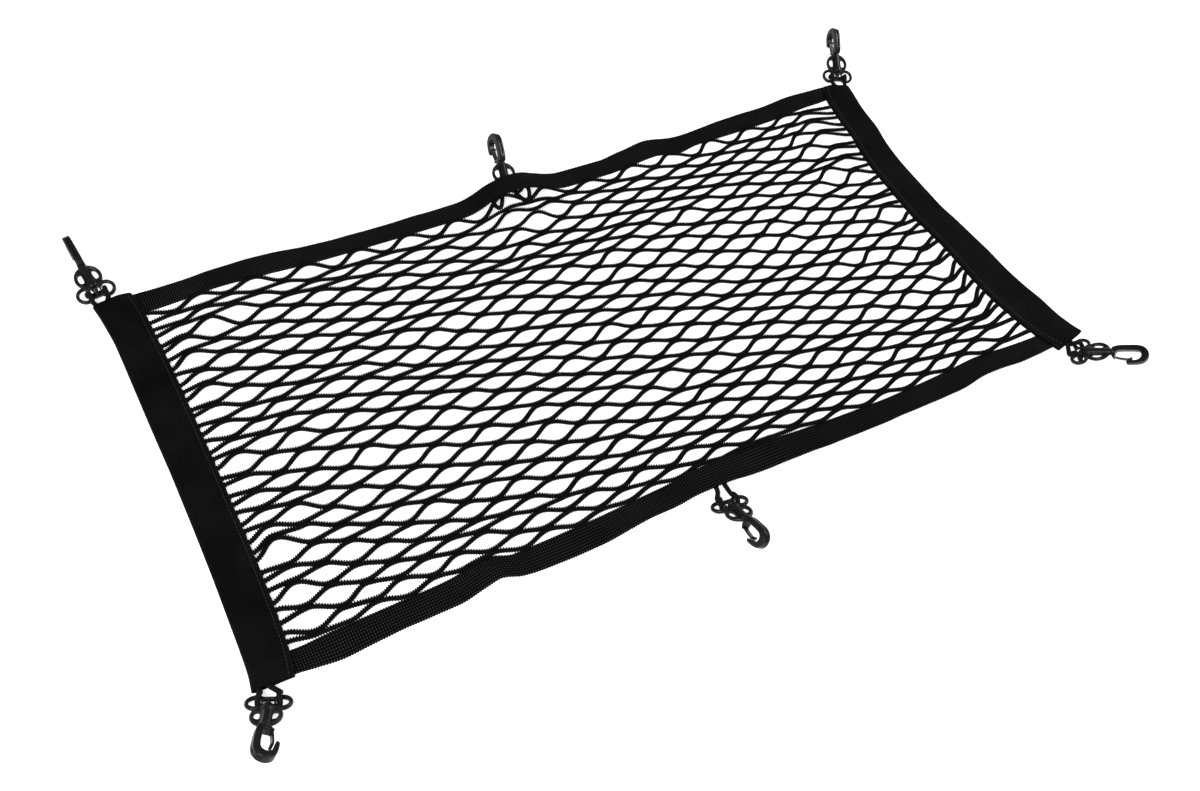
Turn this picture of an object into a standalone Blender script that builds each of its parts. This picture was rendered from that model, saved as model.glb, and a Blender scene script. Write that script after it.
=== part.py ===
"""Cargo net lying flat: elastic diamond netting, two ribbed edge tapes, two
folded end bands and six swivel hooks on cord loops.

Millimetres in the tables, metres in the meshes. X runs from the left band to
the right band, Y from the front tape to the back tape, Z is up from the floor.
"""
import bpy
import bmesh
import math
from mathutils import Matrix, Vector

MM = 0.001

# ------------------------------------------------------------ driving sizes
CORD = 3.6                 # netting cord, widest
NET_HEIGHT = 3.4           # netting cord, floor to top
JOINT_LENGTH = 12.5        # the short straight joint between two meshes
JOINT_WIDTH = 6.2
COLUMNS = 20               # joint columns from band to band
ROWS = 12                  # meshes from tape to tape
STRIP_HALF = 9.5           # flat net end held inside a band
INSIDE_LOW = 1.3           # what lies inside a band: underside and top
INSIDE_HIGH = 2.5
TAPE_THICK = 2.2
BAND_PLY = 1.0
LOOP_CORD = 4.4
GAP = 0.3

LOBE_OFFSET = 10.4         # swivel base: the two cord lobes
LOBE_RADIUS = 6.2
LOBE_HOLE = 3.7
PLATE_HALF = 2.0           # half thickness of the base plate
RING_CENTRE = 15.5
RING_RADIUS = 12.0
RING_HOLE = 8.8
BARREL_END = 27.6
BORE = 2.3
SHANK = 1.95
HOOK_HALF_WIDTH = 3.4
GATE_HALF_WIDTH = 2.4
GATE_PIVOT = (33.0, -6.4)  # along the axis, above the axis

# Puts the origin at the middle of the whole footprint, on the floor
FRAME_SHIFT = (0.81, 1.965, 0.0)

# Left band: y, outer edge x, inner edge x, height of the fold
LEFT_BAND = [
    (-200.0, -423.0, -390.0, 7.2),
    (-186.0, -420.8, -387.4, 7.2),
    (-168.0, -419.8, -385.4, 4.6),
    (-140.0, -419.0, -384.0, 4.0),
    (-100.0, -418.0, -382.7, 3.8),
    (-50.0, -417.5, -382.5, 4.1),
    (0.0, -417.5, -382.4, 3.8),
    (50.0, -418.4, -382.8, 4.2),
    (100.0, -419.0, -383.6, 3.8),
    (150.0, -419.8, -385.4, 4.1),
    (168.0, -421.4, -386.2, 4.8),
    (184.0, -423.4, -388.2, 7.2),
    (196.0, -425.4, -391.0, 7.2),
]
LEFT_SKEW = (-1.0, 5.0)    # how far the inner corner runs on, front and back

# Right band: the same columns
RIGHT_BAND = [
    (-199.5, 424.5, 389.0, 7.2),
    (-186.0, 419.4, 382.0, 7.2),
    (-170.0, 417.4, 376.0, 4.6),
    (-150.0, 415.5, 371.4, 4.2),
    (-125.0, 411.0, 367.5, 3.8),
    (-100.0, 408.0, 366.0, 4.3),
    (-75.0, 407.4, 366.0, 3.8),
    (-50.0, 405.0, 366.0, 4.2),
    (-25.0, 403.0, 364.0, 3.8),
    (0.0, 400.0, 361.5, 4.1),
    (50.0, 400.0, 363.0, 3.8),
    (75.0, 400.5, 364.0, 4.2),
    (100.0, 403.5, 367.5, 3.8),
    (125.0, 408.6, 373.0, 4.2),
    (150.0, 411.0, 375.5, 4.0),
    (166.0, 413.0, 378.5, 4.8),
    (180.0, 414.6, 382.0, 7.2),
    (190.5, 416.5, 388.0, 7.2),
]
RIGHT_SKEW = (-7.5, 12.5)

# Back tape: x, inner edge y, outer edge y, lift of its underside
BACK_TAPE = [
    (-404.0, 176.5, 198.5, 0.0),
    (-385.0, 176.0, 200.0, 0.0),
    (-350.0, 177.6, 200.4, 0.0),
    (-320.0, 180.0, 203.0, 0.0),
    (-270.0, 177.6, 202.5, 0.0),
    (-230.0, 174.8, 197.4, 0.0),
    (-150.0, 173.4, 194.6, 0.0),
    (-95.0, 173.4, 194.8, 0.0),
    (-70.0, 173.6, 195.4, 0.6),
    (-56.0, 173.6, 195.4, 5.4),
    (-43.0, 173.6, 195.6, 12.6),
    (-30.0, 173.8, 196.0, 16.0),
    (-16.0, 174.0, 196.4, 16.8),
    (-3.0, 173.8, 196.2, 15.4),
    (10.0, 173.6, 195.8, 10.2),
    (24.0, 173.4, 195.6, 4.6),
    (38.0, 173.4, 195.6, 0.6),
    (60.0, 173.4, 195.8, 0.0),
    (92.0, 173.4, 195.6, 0.0),
    (120.0, 176.0, 199.5, 0.0),
    (150.0, 178.5, 203.6, 0.0),
    (178.0, 173.4, 197.6, 0.0),
    (200.0, 177.0, 197.4, 0.0),
    (250.0, 177.6, 201.0, 0.0),
    (300.0, 179.0, 202.0, 0.0),
    (330.0, 181.6, 205.4, 0.0),
    (352.0, 183.6, 206.0, 0.0),
    (396.0, 184.0, 204.0, 0.0),
]

# Front tape: the same columns; here the outer edge faces the front
FRONT_TAPE = [
    (-404.0, -180.0, -198.4, 0.0),
    (-380.0, -180.0, -200.6, 0.0),
    (-350.0, -178.5, -203.4, 0.0),
    (-300.0, -178.0, -201.0, 0.0),
    (-255.0, -177.2, -200.6, 0.0),
    (-232.0, -174.0, -196.8, 0.0),
    (-216.0, -172.6, -194.4, 0.0),
    (-198.0, -178.6, -200.4, 0.0),
    (-150.0, -178.5, -203.0, 0.0),
    (-110.0, -177.8, -201.2, 0.0),
    (-80.0, -176.6, -198.4, 0.0),
    (-48.0, -175.5, -198.0, 0.4),
    (-30.0, -175.2, -198.0, 5.2),
    (-12.0, -174.9, -198.0, 6.2),
    (6.0, -174.5, -198.0, 5.0),
    (26.0, -173.0, -198.6, 0.4),
    (50.0, -172.5, -199.5, 0.0),
    (90.0, -176.4, -201.0, 0.0),
    (150.0, -180.0, -203.0, 0.0),
    (200.0, -181.5, -204.0, 0.0),
    (260.0, -180.4, -204.0, 0.0),
    (300.0, -178.5, -199.8, 0.0),
    (350.0, -182.0, -202.5, 0.0),
    (396.0, -184.0, -201.4, 0.0),
]

# Where the netting is pulled open or bunched up: x, y, reach, push outwards
SPOTS = [
    (-330.0, 138.0, 34.0, 4.2),
    (-345.0, 112.0, 26.0, -3.2),
    (-360.0, -95.0, 30.0, 3.6),
    (-362.0, -66.0, 26.0, -3.0),
    (-215.0, -156.0, 30.0, 3.8),
    (-196.0, -132.0, 24.0, -2.6),
    (40.0, 145.0, 32.0, 3.6),
    (142.0, 88.0, 30.0, 3.2),
    (320.0, 112.0, 30.0, 4.0),
    (332.0, 78.0, 26.0, 3.0),
    (318.0, -40.0, 28.0, 3.0),
    (60.0, -168.0, 40.0, -3.0),
]

# Hooks: name, lobe centre x, y, z, heading, rise, swivel of the hook (degrees)
HOOKS = [
    ("bl", -417.8, 209.8, 7.4, 97.3, 15.6, -4.0),
    ("bm", -20.0, 190.4, 7.4, 77.6, 18.3, 26.0),
    ("br", 411.3, 208.3, 7.4, 65.0, 22.4, 16.5),
    ("fl", -414.6, -214.4, 7.6, 245.4, 33.0, 66.0),
    ("fm", -11.9, -217.8, 7.5, 264.8, 29.5, -31.5),
    ("fr", 402.0, -219.9, 7.4, 309.0, 31.0, -62.0),
]

# Loop legs on the net's side: hook, then x, y, z of each leg from its end
# to where it leaves the cloth; the first leg goes to the left lobe
LOOP_LEGS = {
    "bl": [[(-420.0, 187.0, 3.6), (-420.6, 196.2, 3.6), (-422.0, 198.8, 3.9)],
           [(-412.6, 187.0, 3.6), (-412.4, 197.6, 3.6), (-411.2, 200.6, 3.8)]],
    "br": [[(403.8, 182.0, 3.6), (403.4, 196.8, 3.6), (402.4, 200.2, 4.2)],
           [(410.8, 182.0, 3.6), (412.0, 192.4, 3.6), (413.4, 194.8, 4.2)]],
    "fl": [[(-410.6, -187.0, 3.6), (-409.6, -199.4, 3.6), (-407.4, -204.0, 3.8)],
           [(-416.8, -187.0, 3.6), (-417.0, -200.2, 3.6)]],
    "fr": [[(405.2, -188.0, 3.6), (404.8, -203.6, 3.6), (403.8, -206.4, 3.9)],
           [(400.2, -188.0, 3.6), (399.6, -204.4, 3.6), (396.0, -210.6, 4.0)]],
    "bm": [[(-42.0, 184.0, 10.2), (-42.0, 176.6, 7.4), (-39.4, 171.8, 3.8),
            (-35.6, 171.8, 3.4), (-32.4, 176.0, 4.8)],
           [(-2.0, 184.0, 12.8), (-2.4, 176.4, 8.8), (-4.8, 170.8, 4.0),
            (-8.6, 168.8, 3.4), (-11.6, 172.8, 4.8)]],
    "fm": [[(-2.4, -181.0, 2.8), (-2.9, -199.4, 2.8)],
           [(-10.6, -181.0, 2.8), (-11.8, -199.2, 2.8)]],
}

# The rest of a loop in the hook's own axes, from the net's side to the middle:
# over the bar, down through the left lobe and under; the other half mirrors it
LOOP_THROUGH = [(-8.8, 7.6, 2.9), (-5.4, 8.2, 5.3), (-0.9, 10.0, 4.3), (0.5, 10.7, -0.6), (0.3, 7.8, -4.8)]


# ------------------------------------------------------------ small helpers
def clear_scene():
    for item in list(bpy.data.objects):
        bpy.data.objects.remove(item, do_unlink=True)


def along(table, column, t):
    """Smooth value of one table column at t, by cubic pieces between rows."""
    rows = table
    if t <= rows[0][0]:
        return rows[0][column]
    if t >= rows[-1][0]:
        return rows[-1][column]
    k = 0
    while rows[k + 1][0] < t:
        k += 1

    def slope(i):
        low = max(i - 1, 0)
        high = min(i + 1, len(rows) - 1)
        return (rows[high][column] - rows[low][column]) / (rows[high][0] - rows[low][0])

    span = rows[k + 1][0] - rows[k][0]
    s = (t - rows[k][0]) / span
    a = rows[k][column]
    b = rows[k + 1][column]
    ma = slope(k) * span
    mb = slope(k + 1) * span
    if (b - a) * ma <= 0:
        ma = 0.0
    if (b - a) * mb <= 0:
        mb = 0.0
    s2 = s * s
    s3 = s2 * s
    return (2 * s3 - 3 * s2 + 1) * a + (s3 - 2 * s2 + s) * ma + (3 * s2 - 2 * s3) * b + (s3 - s2) * mb


def ease(low, high, t):
    s = min(max((t - low) / (high - low), 0.0), 1.0)
    return s * s * (3 - 2 * s)


def spread(low, high, step, extra=()):
    """Evenly spread stations with a few exact ones added."""
    count = max(2, int(round((high - low) / step)))
    values = [low + (high - low) * i / count for i in range(count + 1)]
    for value in extra:
        near = min(range(1, count), key=lambda i: abs(values[i] - value))
        values[near] = value
    return sorted(values)


def make_material(name, color, rough, metallic=0.0):
    material = bpy.data.materials.new(name)
    material.use_nodes = True
    shader = material.node_tree.nodes["Principled BSDF"]
    shader.inputs["Base Color"].default_value = (color[0], color[1], color[2], 1.0)
    shader.inputs["Roughness"].default_value = rough
    shader.inputs["Metallic"].default_value = metallic
    return material


def add_mesh(name, points, faces, material, parent=None):
    """Closed mesh from millimetre points; its normals are turned outwards."""
    mesh = bpy.data.meshes.new(name)
    mesh.from_pydata([(p[0] * MM, p[1] * MM, p[2] * MM) for p in points], [], faces)
    tidy = bmesh.new()
    tidy.from_mesh(mesh)
    bmesh.ops.recalc_face_normals(tidy, faces=tidy.faces)
    tidy.to_mesh(mesh)
    tidy.free()
    mesh.update()
    item = bpy.data.objects.new(name, mesh)
    item.data.materials.append(material)
    item.parent = parent
    bpy.context.collection.objects.link(item)
    return item


def prism(name, outline, low, high, material, parent=None):
    """Plate with the outline (u, v), from w = low to w = high."""
    count = len(outline)
    points = [(u, v, low) for u, v in outline] + [(u, v, high) for u, v in outline]
    faces = [list(range(count)), list(range(2 * count - 1, count - 1, -1))]
    for i in range(count):
        j = (i + 1) % count
        faces.append([i, j, count + j, count + i])
    return add_mesh(name, points, faces, material, parent)


def turned(name, profile, sides, material, parent=None):
    """Solid of revolution about u from (u, radius) pairs, both ends closed."""
    points = []
    faces = []
    for u, radius in profile:
        for k in range(sides):
            a = 2 * math.pi * k / sides
            points.append((u, radius * math.cos(a), radius * math.sin(a)))
    for i in range(len(profile) - 1):
        for k in range(sides):
            n = (k + 1) % sides
            faces.append([i * sides + k, i * sides + n, (i + 1) * sides + n, (i + 1) * sides + k])
    faces.append(list(range(sides)))
    last = (len(profile) - 1) * sides
    faces.append([last + k for k in range(sides)])
    return add_mesh(name, points, faces, material, parent)


def circle(u, v, radius, sides, start=0.0, sweep=2 * math.pi):
    count = sides if sweep > 6.28 else sides + 1
    turn = [start + sweep * k / sides for k in range(count)]
    return [(u + radius * math.cos(a), v + radius * math.sin(a)) for a in turn]


def boolean(target, tool, operation):
    step = target.modifiers.new(operation.lower() + "_" + tool.name, "BOOLEAN")
    step.operation = operation
    step.solver = "EXACT"
    step.object = tool
    tool.hide_render = True
    tool.display_type = "WIRE"


# ------------------------------------------------------------ netting
def wander(x, y, phase):
    """Gentle unevenness, the same every time, from -1 to 1."""
    return (0.5 * math.sin(0.021 * x + 0.034 * y + phase)
            + 0.3 * math.sin(0.047 * x - 0.029 * y + 2.1 * phase)
            + 0.2 * math.sin(-0.083 * x + 0.071 * y + 3.3 * phase))


def pulled(x, y, edge):
    """Moves a joint by the netting's unevenness; edge fades it to nothing."""
    dx = 2.2 * wander(x, y, 0.4) * edge
    dy = 3.4 * wander(x, y, 1.9) * edge
    for sx, sy, reach, push in SPOTS:
        away = math.hypot(x - sx, y - sy)
        if 0.5 < away < 2.2 * reach:
            force = push * math.exp(-(away / reach) ** 2) * min(away / 12.0, 1.0) * edge
            dx += force * (x - sx) / away
            dy += force * (y - sy) / away
    return x + dx, y + dy


def net_height(x, y):
    """The back edge of the netting rises with the tape over the middle hook."""
    lift = along(BACK_TAPE, 3, x)
    return max(lift, 0.0) * ease(128.0, 166.0, y)


def net_graph():
    """Joints and strands as points (x, y, low, high) and (a, b, half width)."""
    points = []
    strands = []

    def add(x, y, low, high):
        points.append((x, y, low, high))
        return len(points) - 1

    ends = {}
    for column in range(COLUMNS + 1):
        share = column / COLUMNS
        inner = column % 2 == 1
        count = ROWS if inner else ROWS + 1
        strip = column in (0, COLUMNS)
        chain = []
        for row in range(count):
            level = (row + (0.5 if inner else 0.0)) / ROWS
            side = 2 * level - 1
            y = 174.0 * side
            left = along(LEFT_BAND, 2, y) + 3.0
            right = along(RIGHT_BAND, 2, y) - 3.0
            x = left + (right - left) * share
            low_y = max(along(FRONT_TAPE, 1, x + d) for d in (-9, 0, 9)) + JOINT_WIDTH / 2 + GAP
            high_y = min(along(BACK_TAPE, 1, x + d) for d in (-9, 0, 9)) - JOINT_WIDTH / 2 - GAP
            y = low_y + (high_y - low_y) * level
            if strip:
                band = LEFT_BAND if column == 0 else RIGHT_BAND
                turn = -1.0 if column == 0 else 1.0
                x = along(band, 2, y) + turn * (STRIP_HALF - 3.0)
                here = add(x, y, INSIDE_LOW, INSIDE_HIGH)
                ends[(column, row)] = (here, here)
                chain.append(here)
                continue
            edge = min(1.0, 4.5 * min(level, 1 - level))
            if level > 0.001 and level < 0.999:
                edge = max(edge, 0.35)
            x, y = pulled(x, y, edge)
            half = JOINT_LENGTH / 2
            tilt = 0.10 * wander(x, y, 5.0) * edge
            base = net_height(x, y)
            a = add(x - half, y - half * tilt, base, base + NET_HEIGHT)
            b = add(x + half, y + half * tilt, base, base + NET_HEIGHT)
            strands.append((a, b, JOINT_WIDTH / 2))
            ends[(column, row)] = (a, b)
        if strip:
            first = points[chain[0]]
            last = points[chain[-1]]
            low_y = along(FRONT_TAPE, 1, first[0]) + 1.2
            high_y = along(BACK_TAPE, 1, last[0]) - 1.2
            chain.insert(0, add(first[0], min(low_y, first[1] - 1.0), INSIDE_LOW, INSIDE_HIGH))
            chain.append(add(last[0], max(high_y, last[1] + 1.0), INSIDE_LOW, INSIDE_HIGH))
            for a, b in zip(chain, chain[1:]):
                strands.append((a, b, STRIP_HALF))
    for column in range(COLUMNS):
        inner = column % 2 == 1
        for row in range(ROWS if inner else ROWS + 1):
            steps = (row, row + 1) if inner else (row - 1, row)
            for other in steps:
                if (column + 1, other) in ends:
                    strands.append((ends[(column, row)][1], ends[(column + 1, other)][0], CORD / 2))
    return points, strands


def corner(here, first, second):
    """Plan point where the left side of one strand meets the right side of the next."""
    d1, w1 = first
    d2, w2 = second
    n1 = Vector((-d1.y, d1.x))
    n2 = Vector((d2.y, -d2.x))
    cross = d1.x * d2.y - d1.y * d2.x
    if abs(cross) < 0.12:
        return here + n1 * max(w1, w2)
    gap = n2 * w2 - n1 * w1
    s = (gap.x * d2.y - gap.y * d2.x) / cross
    s = min(max(s, -9.0), 30.0)
    return here + n1 * w1 + d1 * s


def cord_mesh(points, strands):
    """Solid of all strands: a flat-bottomed trapezoid section, mitred at joints."""
    meets = {}
    for a, b, half in strands:
        meets.setdefault(a, []).append((b, half))
        meets.setdefault(b, []).append((a, half))
    out = []
    faces = []
    left_of = {}
    right_of = {}
    for here, others in meets.items():
        p = Vector(points[here][:2])
        low, high = points[here][2:]
        fan = []
        for other, half in others:
            d = (Vector(points[other][:2]) - p).normalized()
            fan.append((math.atan2(d.y, d.x), other, d, half))
        fan.sort(key=lambda item: item[0])
        if len(fan) == 1:
            other, d, half = fan[0][1:]
            n = Vector((-d.y, d.x))
            base = len(out)
            for q in (p + n * half, p - n * half):
                out.append((q.x, q.y, low))
                out.append((q.x, q.y, high))
            left_of[(here, other)] = base
            right_of[(here, other)] = base + 2
            faces.append([base, base + 1, base + 3, base + 2])
            continue
        ring = []
        for i, (angle, other, d, half) in enumerate(fan):
            after = fan[(i + 1) % len(fan)]
            base = len(out)
            crown = 0.62 if half < STRIP_HALF else 1.0
            crown_after = 0.62 if after[3] < STRIP_HALF else 1.0
            foot = corner(p, (d, half), (after[2], after[3]))
            top = corner(p, (d, half * crown), (after[2], after[3] * crown_after))
            out.append((foot.x, foot.y, low))
            out.append((top.x, top.y, high))
            left_of[(here, other)] = base
            right_of[(here, after[1])] = base
            ring.append(base)
        if len(ring) > 2:
            faces.append(ring[::-1])
            faces.append([base + 1 for base in ring])
    for a, b, half in strands:
        la = left_of[(a, b)]
        ra = right_of[(a, b)]
        lb = left_of[(b, a)]
        rb = right_of[(b, a)]
        faces.append([la, ra, lb, rb])
        faces.append([la + 1, rb + 1, lb + 1, ra + 1])
        faces.append([la, rb, rb + 1, la + 1])
        faces.append([ra, ra + 1, lb + 1, lb])
    return out, faces


def build_net(material):
    points, strands = net_graph()
    out, faces = cord_mesh(points, strands)
    return add_mesh("net", out, faces, material)


# ------------------------------------------------------------ tapes and bands
def tube_faces(rings, count):
    """Faces joining equal rings of points and closing both ends."""
    faces = []
    for i in range(rings - 1):
        for k in range(count):
            n = (k + 1) % count
            faces.append([i * count + k, i * count + n, (i + 1) * count + n, (i + 1) * count + k])
    faces.append(list(range(count)))
    faces.append([(rings - 1) * count + k for k in range(count)])
    return faces


def build_tape(name, table, material):
    """Edge tape; its ends are squeezed thin where they lie inside a band."""
    out = []
    near = (table[1][1], table[1][2], 0.5 * (table[1][1] + table[1][2]))
    left = max(along(LEFT_BAND, 2, y) for y in near)
    right = min(along(RIGHT_BAND, 2, y) for y in near)
    marks = [row[0] for row in table[2:-2]] + [left + 2.5, left + 17.0, right - 17.0, right - 2.5]
    stations = spread(table[0][0], table[-1][0], 15.0, marks)
    for x in stations:
        inner = along(table, 1, x)
        outer = along(table, 2, x)
        held = 1 - ease(left + 2.5, left + 17, x) + ease(right - 17, right - 2.5, x)
        held = min(max(held, 0.0), 1.0)
        low = max(along(table, 3, x), 0.0) * (1 - held) + INSIDE_LOW * held
        thick = TAPE_THICK * (1 - held) + (INSIDE_HIGH - INSIDE_LOW) * held
        side = 0.5 if outer > inner else -0.5
        out.append((x, inner, low))
        out.append((x, outer, low))
        out.append((x, outer + side, low + 0.5 * thick))
        out.append((x, outer, low + thick))
        out.append((x, inner, low + thick))
    return add_mesh(name, out, tube_faces(len(stations), 5), material)


def build_band(name, table, skew, material):
    """End band folded in half over the net's end; open along its inner edge."""
    out = []
    stations = spread(table[0][0], table[-1][0], 17.0, [row[0] for row in table[1:-1]])
    for y in stations:
        outer = along(table, 1, y)
        inner = along(table, 2, y)
        high = along(table, 3, y)
        run = skew[1] * ease(150.0, 198.0, y) + skew[0] * ease(-150.0, -200.0, y)
        toward = 1.0 if inner > outer else -1.0
        width = abs(inner - outer)
        lip = 3.8
        crest = 0.72 * width
        section = [
            (width, 0.0),
            (1.6, 0.0),
            (0.0, 0.5 * high),
            (1.6, high),
            (crest, high),
            (width, lip),
            (width, lip - BAND_PLY),
            (crest - 0.3, high - BAND_PLY),
            (2.2, high - BAND_PLY),
            (1.05, 0.5 * high),
            (2.2, BAND_PLY),
            (width, BAND_PLY),
        ]
        for across, z in section:
            out.append((outer + toward * across, y + run * across / width, z))
    return add_mesh(name, out, tube_faces(len(stations), 12), material)


# ------------------------------------------------------------ swivel hooks
def base_solid(name, material, seat):
    """Clover plate: bar and two cord lobes, a window, a ring and the barrel."""
    neck = [(-5.6, -LOBE_OFFSET), (9.0, -6.0), (9.0, 6.0), (-5.6, LOBE_OFFSET)]
    body = prism(name, neck, -PLATE_HALF, PLATE_HALF, material, seat)
    parts = []
    for side in (-1, 1):
        ring = circle(0.0, side * LOBE_OFFSET, LOBE_RADIUS, 10)
        parts.append(prism(name + "_lobe_%d" % (side + 1), ring, -PLATE_HALF, PLATE_HALF, material, seat))
    ring = circle(RING_CENTRE, 0.0, RING_RADIUS, 20)
    parts.append(prism(name + "_ring", ring, -PLATE_HALF, PLATE_HALF, material, seat))
    for part in parts:
        boolean(body, part, "UNION")
    cutters = []
    for side in (-1, 1):
        hole = circle(0.0, side * LOBE_OFFSET, LOBE_HOLE, 8)
        cutters.append(prism(name + "_hole_%d" % (side + 1), hole, -6.0, 6.0, material, seat))
        middle = -math.pi / 2 if side < 0 else math.pi / 2
        bow = circle(RING_CENTRE, 0.0, RING_HOLE, 6, middle - 0.98, 1.96)
        cutters.append(prism(name + "_eye_%d" % (side + 1), bow, -6.0, 6.0, material, seat))
    for cutter in cutters:
        boolean(body, cutter, "DIFFERENCE")
    profile = [(4.2, 4.2), (6.5, 4.8), (BARREL_END, 3.7)]
    boolean(body, turned(name + "_barrel", profile, 10, material, seat), "UNION")
    window = [(-2.8, -4.8), (4.4, -3.4), (4.4, 3.4), (-2.8, 4.8)]
    boolean(body, prism(name + "_window", window, -8.0, 8.0, material, seat), "DIFFERENCE")
    bore = turned(name + "_bore", [(3.0, BORE), (BARREL_END + 2.0, BORE)], 8, material, seat)
    boolean(body, bore, "DIFFERENCE")
    return body


def hook_solid(name, material, seat):
    """Open hook: web, spine along the axis, round nose, short arm; shank behind."""
    side = [
        (BARREL_END + GAP, 3.4), (30.2, 5.6), (36.0, 6.2), (50.5, 6.4), (56.4, 5.2),
        (60.6, 1.6), (62.0, -3.1), (60.8, -7.8), (57.4, -11.2), (52.6, -12.6),
        (46.8, -12.4), (43.5, -11.6), (45.6, -9.5), (51.6, -8.9), (54.4, -6.8),
        (55.4, -3.8), (54.3, -0.8), (51.2, 0.8), (34.0, 0.8), (31.9, -0.8),
        (31.4, -5.6), (31.0, -8.2), (BARREL_END + GAP, -5.0),
    ]
    body = prism(name, side, -HOOK_HALF_WIDTH, HOOK_HALF_WIDTH, material, seat)
    edge = body.modifiers.new("soft_edges", "BEVEL")
    edge.width = 0.9 * MM
    edge.segments = 1
    edge.limit_method = "ANGLE"
    edge.angle_limit = math.radians(60)
    profile = [(-1.8, 0.9), (3.4, 2.75), (3.7, SHANK), (29.6, SHANK)]
    shank = turned(name + "_shank", profile, 8, material, seat)
    shank.rotation_euler = (math.radians(90), 0.0, 0.0)
    boolean(body, shank, "UNION")
    return body


def gate_solid(name, material, seat):
    """Spring leaf from the web to the arm's tip, with an upturned end."""
    pu, pw = GATE_PIVOT
    side = [
        (32.2, -5.4), (36.4, -6.3), (41.2, -7.0), (45.0, -7.2), (46.2, -5.9), (47.2, -6.2),
        (47.2, -8.3), (45.0, -8.9), (41.0, -8.6), (36.2, -7.8), (32.2, -7.0),
    ]
    outline = [(u - pu, w - pw) for u, w in side]
    return prism(name, outline, -GATE_HALF_WIDTH, GATE_HALF_WIDTH, material, seat)


def seat_matrix(row):
    """From a hook's own axes (u along, v left, w up) to the net's, in mm."""
    name, x, y, z, heading, rise, swivel = row
    turn = Matrix.Rotation(math.radians(heading), 4, "Z")
    tip = Matrix.Rotation(math.radians(-rise), 4, "Y")
    return Matrix.Translation((x, y, z)) @ turn @ tip


def build_loop(row, material, parent):
    """Elastic loop: out of the cloth, over the bar, down both lobe holes, under."""
    name = row[0]
    seat = seat_matrix(row)
    left = [Vector(p) for p in LOOP_LEGS[name][0]]
    right = [Vector(p) for p in LOOP_LEGS[name][1]]
    through = [seat @ Vector(p) for p in LOOP_THROUGH]
    back = [seat @ Vector((u, -v, w)) for u, v, w in reversed(LOOP_THROUGH)]
    path = left + through + back + list(reversed(right))
    curve = bpy.data.curves.new("loop_" + name, "CURVE")
    curve.dimensions = "3D"
    curve.bevel_depth = LOOP_CORD / 2 * MM
    curve.bevel_resolution = 2
    curve.use_fill_caps = True
    line = curve.splines.new("POLY")
    line.points.add(len(path) - 1)
    for i, p in enumerate(path):
        line.points[i].co = (p.x * MM, p.y * MM, p.z * MM, 1.0)
    item = bpy.data.objects.new("loop_" + name, curve)
    item.data.materials.append(material)
    item.parent = parent
    bpy.context.collection.objects.link(item)
    return item


def build_hook(row, materials, parent):
    name, x, y, z, heading, rise, swivel = row
    seat = bpy.data.objects.new("seat_" + name, None)
    seat.parent = parent
    seat.location = (x * MM, y * MM, z * MM)
    seat.rotation_euler = (0.0, math.radians(-rise), math.radians(heading))
    bpy.context.collection.objects.link(seat)
    base_solid("base_" + name, materials["base"], seat)
    spin = bpy.data.objects.new("spin_" + name, None)
    spin.parent = seat
    spin.rotation_euler = (math.radians(90 + swivel), 0.0, 0.0)
    bpy.context.collection.objects.link(spin)
    hook_solid("hook_" + name, materials["hook"], spin)
    gate = gate_solid("gate_" + name, materials["gate"], spin)
    gate.location = (GATE_PIVOT[0] * MM, GATE_PIVOT[1] * MM, 0.0)


def main():
    clear_scene()
    materials = {
        "net": make_material("net_cord", (0.012, 0.012, 0.013), 0.82),
        "tape": make_material("edge_tape", (0.014, 0.014, 0.015), 0.78),
        "band": make_material("end_band", (0.017, 0.017, 0.018), 0.72),
        "base": make_material("swivel_base", (0.020, 0.020, 0.021), 0.42),
        "hook": make_material("hook_plastic", (0.024, 0.024, 0.024), 0.38),
        "gate": make_material("gate_plastic", (0.022, 0.022, 0.022), 0.40),
        "loop": make_material("loop_cord", (0.013, 0.013, 0.014), 0.80),
    }
    frame = bpy.data.objects.new("net_frame", None)
    frame.location = (FRAME_SHIFT[0] * MM, FRAME_SHIFT[1] * MM, FRAME_SHIFT[2] * MM)
    bpy.context.collection.objects.link(frame)
    cloth = [
        build_net(materials["net"]),
        build_tape("tape_back", BACK_TAPE, materials["tape"]),
        build_tape("tape_front", FRONT_TAPE, materials["tape"]),
        build_band("band_left", LEFT_BAND, LEFT_SKEW, materials["band"]),
        build_band("band_right", RIGHT_BAND, RIGHT_SKEW, materials["band"]),
    ]
    for item in cloth:
        item.parent = frame
    for row in HOOKS:
        build_hook(row, materials, frame)
        build_loop(row, materials["loop"], frame)


main()
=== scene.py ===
# %% [markdown]
# # A cargo net, laid out flat
# The real thing is five pieces of cloth and six plastic hooks. Netting of knitted
# elastic cord runs between two ribbed edge tapes, both short ends are sewn into folded
# bands, and the hooks are tied on with short cord loops. The lesson builds each piece
# at its true size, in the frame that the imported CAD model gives, so nothing has to be
# fitted afterwards.

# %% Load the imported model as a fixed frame
import math
import bpy
import bmesh
import numpy as np
from mathutils import Matrix, Vector


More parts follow.
